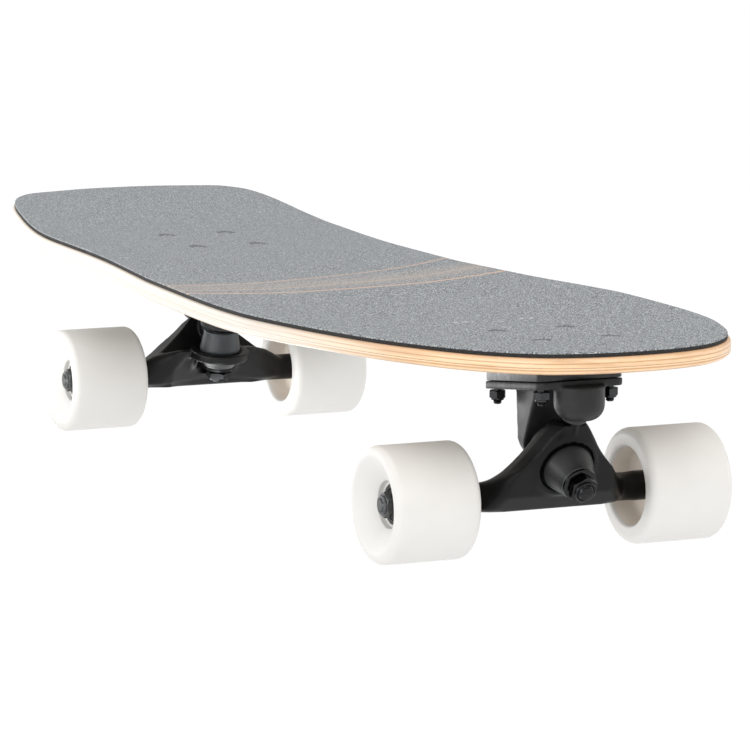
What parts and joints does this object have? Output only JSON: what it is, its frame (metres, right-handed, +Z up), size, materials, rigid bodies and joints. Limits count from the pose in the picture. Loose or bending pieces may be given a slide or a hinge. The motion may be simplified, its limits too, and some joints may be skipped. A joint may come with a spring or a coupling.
{
  "type": "surf skateboard",
  "caption": "Short wide kicktail skateboard with a grip-covered plywood deck, a surf-style front truck, a stiffer rear truck and wide soft wheels.",
  "frame": {"origin": "on the floor, under the middle of the deck", "axes": "+X to the nose, +Y to the left side when facing the nose, +Z up"},
  "size_m": [0.762, 0.2402, 0.1385],
  "materials": {
    "maple_deck": "clear satin lacquer on cross-laid plies",
    "grip": "fine abrasive grain on a foam sheet",
    "riser_rubber": "matte",
    "black_coated_alloy": "satin black powder coat",
    "black_plastic": "matte",
    "black_steel": "black oxide",
    "bushing_urethane": "satin",
    "plain_steel": "zinc plated",
    "bearing_steel": "polished rings with dark shields",
    "wheel_urethane": "smooth satin cast urethane"
  },
  "bodies": {
    "deck": {"deck": "maple_deck", "grip_sheet": "grip", "front_riser": "riser_rubber", "front_baseplate": "black_coated_alloy", "front_pivot_cup": "black_plastic", "front_kingpin": "black_steel", "front_kingpin_nut": "black_steel", "front_board_side_bushing": "bushing_urethane", "front_road_side_bushing": "bushing_urethane", "front_board_side_washer": "black_steel", "front_road_side_washer": "black_steel", "front_screw_rear_right": "black_steel", "front_screw_rear_left": "black_steel", "front_screw_front_right": "black_steel", "front_screw_front_left": "black_steel", "front_nut_rear_right": "black_steel", "front_nut_rear_left": "black_steel", "front_nut_front_right": "black_steel", "front_nut_front_left": "black_steel", "rear_riser": "riser_rubber", "rear_baseplate": "black_coated_alloy", "rear_pivot_cup": "black_plastic", "rear_kingpin": "black_steel", "rear_kingpin_nut": "black_steel", "rear_board_side_bushing": "bushing_urethane", "rear_road_side_bushing": "bushing_urethane", "rear_board_side_washer": "black_steel", "rear_road_side_washer": "black_steel", "rear_screw_rear_right": "black_steel", "rear_screw_rear_left": "black_steel", "rear_screw_front_right": "black_steel", "rear_screw_front_left": "black_steel", "rear_nut_rear_right": "black_steel", "rear_nut_rear_left": "black_steel", "rear_nut_front_right": "black_steel", "rear_nut_front_left": "black_steel"},
    "front_hanger": {"front_hanger": "black_coated_alloy", "front_axle": "plain_steel", "front_right_axle_nut": "plain_steel", "front_right_axle_washer": "plain_steel", "front_left_axle_nut": "plain_steel", "front_left_axle_washer": "plain_steel"},
    "rear_hanger": {"rear_hanger": "black_coated_alloy", "rear_axle": "plain_steel", "rear_right_axle_nut": "plain_steel", "rear_right_axle_washer": "plain_steel", "rear_left_axle_nut": "plain_steel", "rear_left_axle_washer": "plain_steel"},
    "front_right_wheel": {"front_right_wheel": "wheel_urethane", "front_right_outer_bearing": "bearing_steel", "front_right_inner_bearing": "bearing_steel"},
    "front_left_wheel": {"front_left_wheel": "wheel_urethane", "front_left_outer_bearing": "bearing_steel", "front_left_inner_bearing": "bearing_steel"},
    "rear_right_wheel": {"rear_right_wheel": "wheel_urethane", "rear_right_outer_bearing": "bearing_steel", "rear_right_inner_bearing": "bearing_steel"},
    "rear_left_wheel": {"rear_left_wheel": "wheel_urethane", "rear_left_outer_bearing": "bearing_steel", "rear_left_inner_bearing": "bearing_steel"}
  },
  "joints": [
    {"name": "front_steer", "type": "hinge", "parent": "deck", "child": "front_hanger", "pos_m": [0.2926, 0, 0.0535], "axis": [0.4226, 0, 0.9063], "range_deg": [-20, 20], "stiffness_Nm_per_rad": 25, "deforming": ["front_board_side_bushing", "front_road_side_bushing"]},
    {"name": "rear_steer", "type": "hinge", "parent": "deck", "child": "rear_hanger", "pos_m": [-0.1995, 0, 0.0465], "axis": [-0.809, 0, 0.5878], "range_deg": [-15, 15], "stiffness_Nm_per_rad": 45, "deforming": ["rear_board_side_bushing", "rear_road_side_bushing"]},
    {"name": "front_right_wheel_spin", "type": "hinge", "parent": "front_hanger", "child": "front_right_wheel", "pos_m": [0.268, 0, 0.0325], "axis": [0, 1, 0], "continuous": true},
    {"name": "front_left_wheel_spin", "type": "hinge", "parent": "front_hanger", "child": "front_left_wheel", "pos_m": [0.268, 0, 0.0325], "axis": [0, 1, 0], "continuous": true},
    {"name": "rear_right_wheel_spin", "type": "hinge", "parent": "rear_hanger", "child": "rear_right_wheel", "pos_m": [-0.224, 0, 0.0325], "axis": [0, 1, 0], "continuous": true},
    {"name": "rear_left_wheel_spin", "type": "hinge", "parent": "rear_hanger", "child": "rear_left_wheel", "pos_m": [-0.224, 0, 0.0325], "axis": [0, 1, 0], "continuous": true}
  ]
}
